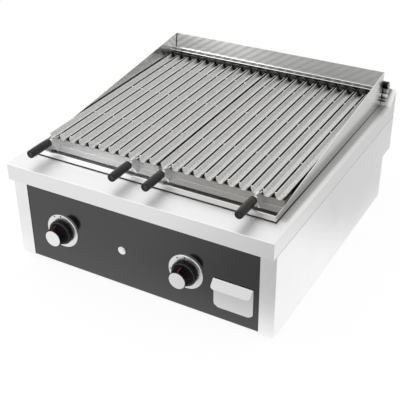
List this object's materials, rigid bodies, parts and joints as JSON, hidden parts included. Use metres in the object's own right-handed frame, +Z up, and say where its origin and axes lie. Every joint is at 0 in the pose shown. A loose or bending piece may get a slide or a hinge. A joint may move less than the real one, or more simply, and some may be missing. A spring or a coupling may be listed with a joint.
{
  "type": "tabletop gas grill",
  "caption": "Tabletop gas grill: steel body, tilting grates of V-shaped bars with grips, lift-off splash guard, knobs that push and turn, grease drawer, rear flue.",
  "frame": {"origin": "on the surface that the feet stand on, in the middle of the floor space taken up", "axes": "+X to the right seen from the front, +Y to the back, +Z up"},
  "size_m": [0.6, 0.6812, 0.312],
  "materials": {
    "bright_steel": "polished stainless sheet",
    "satin_steel": "satin stainless sheet",
    "guard_steel": "brushed stainless sheet",
    "dark_panel": "satin dark grey",
    "bar_steel": "ground stainless bar",
    "rod_steel": "plain stainless rod",
    "black_grip": "matt black",
    "knob_black": "glossy black",
    "cap_silver": "satin aluminium",
    "dial_silver": "satin aluminium",
    "flue_dark": "dark glossy",
    "inner_steel": "mill finish sheet",
    "burner_steel": "heat-dulled tube",
    "brass": "machined brass",
    "pipe_steel": "zinc-coated steel tube",
    "rubber_black": "moulded black rubber",
    "zinc": "zinc-plated",
    "ceramic_white": "white glazed ceramic",
    "copper": "bare copper",
    "lead_red": "silicone sleeve"
  },
  "bodies": {
    "body": {"side_panel_left": "satin_steel", "side_panel_right": "satin_steel", "base_plate": "inner_steel", "rear_cover": "satin_steel", "upper_back": "satin_steel", "control_panel": "dark_panel", "worktop": "bright_steel", "front_rim": "bright_steel", "feet": "rubber_black", "foot_bolts": "zinc", "firebox": "inner_steel", "gutter": "bright_steel", "drain_chute": "inner_steel", "rest_bar": "bright_steel", "pivot_brackets": "rod_steel", "flue_duct": "inner_steel", "flue_hood": "flue_dark", "plate_rails": "rod_steel", "heat_plates_left": "burner_steel", "heat_plates_right": "burner_steel", "burner_left": "burner_steel", "burner_right": "burner_steel", "injectors": "brass", "gas_pipe": "pipe_steel", "gas_inlet": "brass", "valve_left": "brass", "valve_right": "brass", "valve_springs": "zinc", "dial_plate_left": "dial_silver", "dial_plate_right": "dial_silver", "lighter_barrel": "zinc", "lighter_spring": "zinc", "electrodes": "ceramic_white", "lighter_leads": "lead_red", "thermocouples": "copper", "drawer_rails": "zinc", "screws": "zinc"},
    "guard": {"splash_guard": "guard_steel"},
    "grate_left": {"grate_bars_left": "bar_steel", "grate_frame_left": "rod_steel", "latches_left": "rod_steel", "grips_left": "black_grip"},
    "grate_right": {"grate_bars_right": "bar_steel", "grate_frame_right": "rod_steel", "latches_right": "rod_steel", "grips_right": "black_grip"},
    "drawer": {"drawer_tray": "satin_steel", "drawer_front": "bright_steel"},
    "plunger_left": {"plunger_left": "brass"},
    "plunger_right": {"plunger_right": "brass"},
    "knob_left": {"spindle_left": "rod_steel", "knob_left": "knob_black", "knob_cap_left": "cap_silver"},
    "knob_right": {"spindle_right": "rod_steel", "knob_right": "knob_black", "knob_cap_right": "cap_silver"},
    "lighter_button": {"lighter_button": "cap_silver"},
    "air_shutter_left": {"air_shutter_left": "zinc"},
    "air_shutter_right": {"air_shutter_right": "zinc"}
  },
  "joints": [
    {"name": "guard_lift", "type": "slide", "parent": "body", "child": "guard", "axis": [0, 0, 1], "range_m": [0, 0.08]},
    {"name": "grate_left_tilt", "type": "hinge", "parent": "body", "child": "grate_left", "pos_m": [-0.1361, 0.27905, 0.2548], "axis": [-1, 0, 0], "range_deg": [0, 20]},
    {"name": "grate_right_tilt", "type": "hinge", "parent": "body", "child": "grate_right", "pos_m": [0.1361, 0.27905, 0.2548], "axis": [-1, 0, 0], "range_deg": [0, 20]},
    {"name": "drawer_slide", "type": "slide", "parent": "body", "child": "drawer", "axis": [0, -1, 0], "range_m": [0, 0.2]},
    {"name": "lighter_push", "type": "slide", "parent": "body", "child": "lighter_button", "axis": [0, 1, 0], "range_m": [0, 0.0035], "stiffness_N_per_m": 1500, "springref_m": -0.002},
    {"name": "knob_left_push", "type": "slide", "parent": "body", "child": "plunger_left", "axis": [0, 1, 0], "range_m": [0, 0.004], "stiffness_N_per_m": 2000, "springref_m": -0.002},
    {"name": "knob_left_turn", "type": "hinge", "parent": "plunger_left", "child": "knob_left", "pos_m": [-0.1833, -0.33595, 0.1], "axis": [0, -1, 0], "range_deg": [0, 270]},
    {"name": "air_shutter_left_turn", "type": "hinge", "parent": "body", "child": "air_shutter_left", "pos_m": [-0.1833, -0.23695, 0.1], "axis": [0, -1, 0], "range_deg": [0, 60]},
    {"name": "knob_right_push", "type": "slide", "parent": "body", "child": "plunger_right", "axis": [0, 1, 0], "range_m": [0, 0.004], "stiffness_N_per_m": 2000, "springref_m": -0.002},
    {"name": "knob_right_turn", "type": "hinge", "parent": "plunger_right", "child": "knob_right", "pos_m": [0.1113, -0.33595, 0.1], "axis": [0, -1, 0], "range_deg": [0, 270]},
    {"name": "air_shutter_right_turn", "type": "hinge", "parent": "body", "child": "air_shutter_right", "pos_m": [0.1113, -0.23695, 0.1], "axis": [0, -1, 0], "range_deg": [0, 60]}
  ]
}
